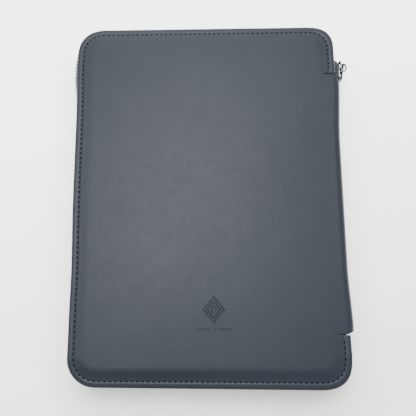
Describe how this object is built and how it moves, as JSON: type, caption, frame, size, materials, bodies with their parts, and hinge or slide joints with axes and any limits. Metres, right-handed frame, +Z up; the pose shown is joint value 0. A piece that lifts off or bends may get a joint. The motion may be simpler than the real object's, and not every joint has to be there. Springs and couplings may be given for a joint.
{
  "type": "tablet keyboard case",
  "caption": "Zip-round folio case for a tablet, with a built-in keyboard, a stitched leather cover and an inner panel that stands the tablet up.",
  "frame": {"origin": "centre of the closed case's box, on the surface it lies on", "axes": "+X towards the spine, +Y along the spine towards the zip slider, +Z up through the pictured back cover"},
  "size_m": [0.2054, 0.2672, 0.028],
  "materials": {
    "outer_leather": "fine grained PU leather, slate blue-grey, satin",
    "foam": "soft closed-cell foam",
    "board": "pressed grey board",
    "lining": "brushed microfibre",
    "thread": "twisted polyester",
    "zip_tape": "herringbone woven tape",
    "zip_teeth": "bright",
    "zip_metal": "polished",
    "keyboard_plastic": "fine textured",
    "key_plastic": "satin",
    "steel": "bare",
    "membrane": "printed film",
    "silicone": "matt",
    "circuit": "solder masked laminate",
    "battery": "laminated pouch",
    "light": "clear",
    "control_plastic": "satin",
    "adhesive": "foam tape",
    "elastic": "ribbed elastic",
    "panel_cloth": "brushed microfibre"
  },
  "bodies": {
    "front_cover": {"front_cover_skin": "outer_leather", "front_cover_foam": "foam", "front_cover_board": "board", "front_cover_lining": "lining", "front_cover_stitching": "thread", "front_zip_tape": "zip_tape", "front_zip_teeth": "zip_teeth", "front_zip_top_stop": "zip_metal", "keyboard_bottom_case": "keyboard_plastic", "keyboard_deck": "keyboard_plastic", "keyboard_base_plate": "steel", "keyboard_membrane": "membrane", "keyboard_domes": "silicone", "keyboard_circuit_board": "circuit", "keyboard_battery": "battery", "keyboard_usb_socket": "steel", "keyboard_status_lights": "light", "keyboard_screws": "steel", "keyboard_fixing_pads": "adhesive"},
    "spine": {"spine_skin": "outer_leather", "spine_board": "board", "spine_lining": "lining"},
    "back_cover": {"back_cover_skin": "outer_leather", "back_cover_foam": "foam", "back_cover_board": "board", "back_cover_lining": "lining", "back_cover_stitching": "thread", "back_zip_tape": "zip_tape", "back_zip_teeth": "zip_teeth", "back_zip_top_stop": "zip_metal", "tablet_panel_hinge": "lining", "stand_catch_pad": "elastic"},
    "tablet_panel": {"tablet_panel_facing": "panel_cloth", "tablet_panel_board": "board", "tablet_panel_backing": "lining", "tablet_corner_straps": "elastic", "stand_leg_hinge": "elastic"},
    "stand_leg": {"stand_leg": "lining"},
    "zip_end": {"zip_end_tab": "outer_leather", "zip_end_tape": "zip_tape", "zip_end_teeth": "zip_teeth", "zip_bottom_stop": "zip_metal"},
    "zip_slider": {"zip_slider_body": "zip_metal"},
    "zip_pull": {"zip_pull_tab": "zip_metal"},
    "function_keys": {"keys_function_row": "key_plastic"},
    "number_keys": {"keys_number_row": "key_plastic"},
    "upper_keys": {"keys_upper_row": "key_plastic"},
    "home_keys": {"keys_home_row": "key_plastic"},
    "lower_keys": {"keys_lower_row": "key_plastic"},
    "bottom_keys": {"keys_bottom_row": "key_plastic"},
    "space_bar": {"key_space_bar": "key_plastic"},
    "power_switch": {"keyboard_power_switch": "control_plastic"},
    "pair_button": {"keyboard_pair_button": "control_plastic"}
  },
  "joints": [
    {"name": "spine_fold", "type": "hinge", "parent": "front_cover", "child": "spine", "pos_m": [0.0918, 0, 0.0022], "axis": [0, 1, 0], "range_deg": [0, 90]},
    {"name": "cover_fold", "type": "hinge", "parent": "spine", "child": "back_cover", "pos_m": [0.0918, 0, 0.0258], "axis": [0, 1, 0], "range_deg": [0, 90]},
    {"name": "panel_tilt", "type": "hinge", "parent": "back_cover", "child": "tablet_panel", "pos_m": [0.0789, 0, 0.0208], "axis": [0, -1, 0], "range_deg": [0, 65]},
    {"name": "leg_swing", "type": "hinge", "parent": "tablet_panel", "child": "stand_leg", "pos_m": [-0.0011, 0, 0.0225], "axis": [0, 1, 0], "range_deg": [0, 130]},
    {"name": "zip_end_tuck", "type": "slide", "parent": "spine", "child": "zip_end", "axis": [-1, 0, 0], "range_m": [0, 0.009]},
    {"name": "zip_run", "type": "slide", "parent": "zip_end", "child": "zip_slider", "axis": [0, 1, 0], "range_m": [0, 0.009]},
    {"name": "pull_swing", "type": "hinge", "parent": "zip_slider", "child": "zip_pull", "pos_m": [0.1006, 0.106, 0.014], "axis": [0, 0, 1], "range_deg": [0, 150]},
    {"name": "function_keys_press", "type": "slide", "parent": "front_cover", "child": "function_keys", "axis": [0, 0, -1], "range_m": [0, 0.0015], "stiffness_N_per_m": 300, "springref_m": -0.001},
    {"name": "number_keys_press", "type": "slide", "parent": "front_cover", "child": "number_keys", "axis": [0, 0, -1], "range_m": [0, 0.0015], "stiffness_N_per_m": 300, "springref_m": -0.001},
    {"name": "upper_keys_press", "type": "slide", "parent": "front_cover", "child": "upper_keys", "axis": [0, 0, -1], "range_m": [0, 0.0015], "stiffness_N_per_m": 300, "springref_m": -0.001},
    {"name": "home_keys_press", "type": "slide", "parent": "front_cover", "child": "home_keys", "axis": [0, 0, -1], "range_m": [0, 0.0015], "stiffness_N_per_m": 300, "springref_m": -0.001},
    {"name": "lower_keys_press", "type": "slide", "parent": "front_cover", "child": "lower_keys", "axis": [0, 0, -1], "range_m": [0, 0.0015], "stiffness_N_per_m": 300, "springref_m": -0.001},
    {"name": "bottom_keys_press", "type": "slide", "parent": "front_cover", "child": "bottom_keys", "axis": [0, 0, -1], "range_m": [0, 0.0015], "stiffness_N_per_m": 300, "springref_m": -0.001},
    {"name": "space_bar_press", "type": "slide", "parent": "front_cover", "child": "space_bar", "axis": [0, 0, -1], "range_m": [0, 0.0015], "stiffness_N_per_m": 300, "springref_m": -0.001},
    {"name": "power_switch_slide", "type": "slide", "parent": "front_cover", "child": "power_switch", "axis": [0, 1, 0], "range_m": [0, 0.002]},
    {"name": "pair_button_press", "type": "slide", "parent": "front_cover", "child": "pair_button", "axis": [0, 0, -1], "range_m": [0, 0.0005], "stiffness_N_per_m": 400, "springref_m": -0.001}
  ],
  "couplings": [
    {"joint": "panel_tilt", "follows": "cover_fold", "ratio": 0.7222},
    {"joint": "leg_swing", "follows": "cover_fold", "ratio": 1.4444},
    {"joint": "zip_end_tuck", "follows": "spine_fold", "m_per_rad": 0.005729}
  ]
}
